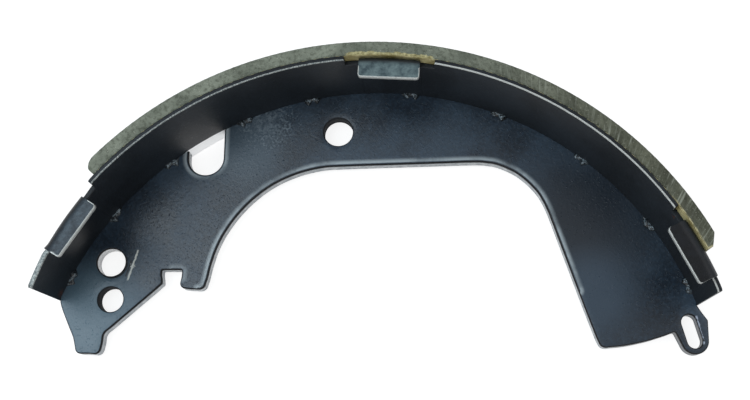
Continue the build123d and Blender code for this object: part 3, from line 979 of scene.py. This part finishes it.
# Adhesive has crept up the side beside the crown tab, and left a pale line round the right end
beside_crown = beside(parts["X"], tab_angles[1], lining_outer)
creep_reach = fade(speckle(place, 260.0, 5.0, 0.65), 0.3, 0.7, 0.0007, 0.0016)
creep = calculate("SUBTRACT", creep_reach, parts["Y"], clamp=False)
creep = multiply(fade(creep, 0.0, 0.0004), fade(beside_crown, 0.0162, 0.0145))
creep_grain = fade(speckle(place, 700.0, 4.0, 0.65), 0.35, 0.65)
creep_tone = blend(srgb(134, 124, 80), (creep_grain, srgb(198, 190, 142)))
right_arc = np.radians(lining_right_angle) * lining_outer
from_end = calculate("SUBTRACT", parts["X"], right_arc, clamp=False)
seat_line = multiply(fade(parts["Y"], 0.0006, 0.0003), fade(parts["X"], 0.081, 0.078))
end_line = multiply(fade(from_end, 0.0007, 0.0003), fade(parts["Y"], 0.0032, 0.0022))
pale_line = calculate("MAXIMUM", seat_line, end_line)
pale_line = multiply(pale_line, fade(speckle(place, 500.0, 3.0), 0.35, 0.55, 0.3, 0.9))
lining_colour = blend(
    paler,
    (right_side, browner),
    (fade(crumbs, 0.46, 0.66, 0.0, 0.6), srgb(58, 62, 50)),
    (mark_share, srgb(168, 172, 158)),
    (other_share, srgb(60, 60, 50)),
    (multiply(fibres, 0.6), srgb(200, 200, 186)),
    (multiply(creep, 0.85), creep_tone),
    (pale_line, srgb(184, 176, 138)),
)
lining_height = calculate("ADD", multiply(side_marks, 0.5), multiply(grind_marks, 0.4), clamp=False)
lining_height = calculate("ADD", lining_height, multiply(crumbs, 0.8), clamp=False)
lining_gloss = fade(crumbs, 0.3, 0.7, 0.72, 0.95)
give_surface(shader, lining_colour, lining_gloss, lining_height, 0.6, 0.0003, specular=0.3)
finish_piece("lining_block", lining_mesh, lining_material, ["lining"])


# ---- Studio ------------------------------------------------------------------------------
# A pale floor under the shoe, a large soft lamp on the left, a weaker one on the right, a low
# strip lamp on the open side, and an even pale world. The floor glows only for the camera and
# in reflections, which keeps it nearly white.
floor_mesh = bpy.data.meshes.new("floor")
floor_reach = 3.0
floor_glow = 0.84
floor_signs = ((-1, -1), (1, -1), (1, 1), (-1, 1))
floor_corners = [(x * floor_reach, y * floor_reach, table_low) for x, y in floor_signs]
floor_mesh.from_pydata(floor_corners, [], [(0, 1, 2, 3)])
floor = add_object("floor", floor_mesh)

floor_material = bpy.data.materials.new("pale floor")
floor_material.use_nodes = True
tree = floor_material.node_tree
shader = tree.nodes["Principled BSDF"]
shader.inputs["Base Color"].default_value = (0.32, 0.32, 0.32, 1)
shader.inputs["Roughness"].default_value = 0.9
shader.inputs["Specular IOR Level"].default_value = 0.0
path = add_node(tree, "ShaderNodeLightPath").outputs
seen = calculate("ADD", path["Is Camera Ray"], path["Is Glossy Ray"])
seen = multiply(calculate("ADD", seen, path["Is Transmission Ray"]), floor_glow)
glow = add_node(tree, "ShaderNodeEmission", {"Color": (1, 1, 1, 1), "Strength": seen})
summed = add_node(tree, "ShaderNodeAddShader", {0: shader.outputs[0], 1: glow.outputs[0]})
tree.links.new(summed.outputs[0], tree.nodes["Material Output"].inputs["Surface"])
floor_mesh.materials.append(floor_material)

world = bpy.data.worlds.new("studio")
bpy.context.scene.world = world
world.use_nodes = True
tree = world.node_tree
sky = tree.nodes["Background"]
sky.inputs["Color"].default_value = (0.97, 0.985, 1.0, 1)
path = add_node(tree, "ShaderNodeLightPath").outputs
set_input(sky.inputs["Strength"], fade(path["Is Camera Ray"], 0.0, 1.0, 0.5, 1.0))


def add_lamp(name, place, target, width, length, power, colour=(1, 1, 1)):
    """A rectangular area lamp that faces a target."""
    lamp = bpy.data.lights.new(name, "AREA")
    lamp.shape = "RECTANGLE"
    lamp.size = width
    lamp.size_y = length
    lamp.energy = power
    lamp.color = colour
    lamp_object = add_object(name, lamp)
    lamp_object.location = place
    direction = np.array(target) - np.array(place)
    lamp_object.rotation_euler = mathutils.Vector(direction).to_track_quat("-Z", "Y").to_euler()


add_lamp("left_softbox", (-0.42, 0.0, 0.75), (-0.06, -0.02, 0), 0.5, 0.64, 3.2, (0.8, 0.92, 1.0))
add_lamp("right_softbox", (0.75, 0.35, 0.8), (0.05, 0, 0), 0.5, 0.7, 1.3)
add_lamp("low_strip", (0.05, -0.75, 0.45), (0.02, -0.03, 0), 0.6, 0.2, 1.0)


# ---- Camera ------------------------------------------------------------------------------
# The camera looks down on the shoe from below its middle, tipped a little towards the crown.
# Its lens is in pixels of a picture 750 wide, where the optical axis meets its own point.
picture_width, picture_height = 750, 400
lens_pixels = 952.0
axis_pixel = (434.0, 260.0)
camera_place = (0.03687, -0.11648, 0.33506)
camera_tip = (11.619, 0.301, 0.0)

camera_data = bpy.data.cameras.new("camera")
camera_data.sensor_width = 36.0
camera_data.lens = lens_pixels / picture_width * camera_data.sensor_width
camera_data.shift_x = (picture_width / 2 - axis_pixel[0]) / picture_width
camera_data.shift_y = (axis_pixel[1] - picture_height / 2) / picture_width
camera_data.clip_start = 0.01
camera = add_object("camera", camera_data)
camera.location = camera_place
camera.rotation_euler = tuple(np.radians(camera_tip))
bpy.context.scene.camera = camera

bpy.context.scene.view_settings.view_transform = "Standard"
